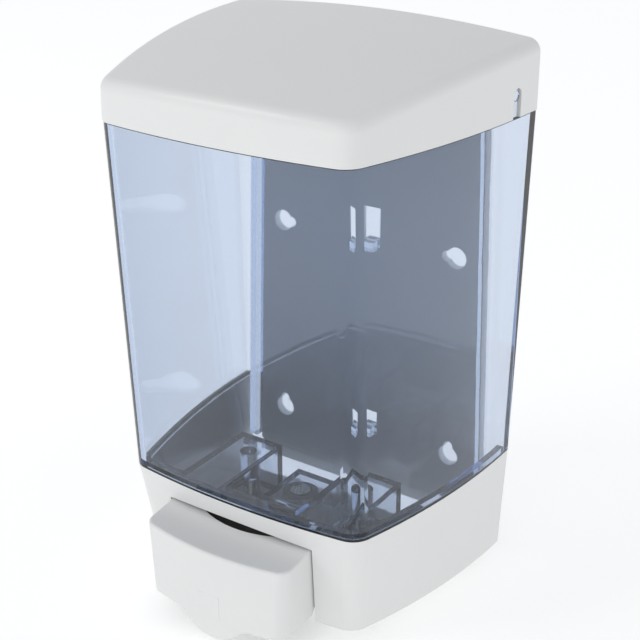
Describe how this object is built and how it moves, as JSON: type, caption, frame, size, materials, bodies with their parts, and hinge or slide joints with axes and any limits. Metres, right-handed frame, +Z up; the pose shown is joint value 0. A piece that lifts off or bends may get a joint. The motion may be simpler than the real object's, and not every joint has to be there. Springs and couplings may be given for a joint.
{
  "type": "wall mounted soap dispenser",
  "caption": "Wall mounted bulk liquid soap dispenser: clear tapered reservoir, white base, domed lift-off lid, and a hinged push bar that works a piston pump.",
  "frame": {"origin": "on the wall plane, midway between the four mounting keyholes of the wall bracket", "axes": "+Z up, -Y out of the wall towards the user, +X to the right of a person facing the dispenser"},
  "size_m": [0.1384, 0.1145, 0.2217],
  "materials": {
    "white_cover": "satin moulded ABS",
    "clear_tank": "clear blue-grey tinted moulded plastic",
    "bracket_plastic": "fine matt moulded ABS",
    "pump_plastic": "natural polypropylene",
    "piston_plastic": "acetal, moulded",
    "guard_plastic": "black polypropylene, fine texture",
    "screw_steel": "stainless, plain",
    "spring_steel": "stainless wire",
    "ball_steel": "polished stainless",
    "seal_rubber": "black nitrile",
    "valve_silicone": "translucent silicone"
  },
  "bodies": {
    "dispenser": {"wall_bracket": "bracket_plastic", "reservoir": "clear_tank", "base_housing": "white_cover", "base_screws": "screw_steel", "splash_guard": "guard_plastic", "pump_barrel": "pump_plastic", "pump_screws": "screw_steel", "barrel_cap": "pump_plastic", "rod_wiper": "seal_rubber", "inlet_gasket": "seal_rubber", "inlet_seat": "piston_plastic", "inlet_strainer": "pump_plastic", "return_spring": "spring_steel", "nozzle": "pump_plastic", "outlet_valve": "valve_silicone"},
    "lid": {"lid": "white_cover"},
    "push_bar": {"push_bar": "white_cover", "push_bar_pins": "screw_steel"},
    "piston": {"piston_rod": "piston_plastic", "piston_seal": "seal_rubber"},
    "inlet_ball": {"inlet_ball": "ball_steel"}
  },
  "joints": [
    {"name": "lid_lift", "type": "slide", "parent": "dispenser", "child": "lid", "axis": [0, 0, 1], "range_m": [0, 0.06]},
    {"name": "bar_hinge", "type": "hinge", "parent": "dispenser", "child": "push_bar", "pos_m": [0, -0.0865, -0.0485], "axis": [1, 0, 0], "range_deg": [0, 18], "stiffness_Nm_per_rad": 0.6, "springref_deg": -14.32},
    {"name": "piston_slide", "type": "slide", "parent": "dispenser", "child": "piston", "axis": [0, 1, 0], "range_m": [0, 0.007], "deforming": ["return_spring"]},
    {"name": "ball_lift", "type": "slide", "parent": "dispenser", "child": "inlet_ball", "axis": [0, 0, 1], "range_m": [0, 0.0011]}
  ],
  "couplings": [
    {"joint": "piston_slide", "follows": "bar_hinge", "m_per_rad": 0.0217}
  ]
}
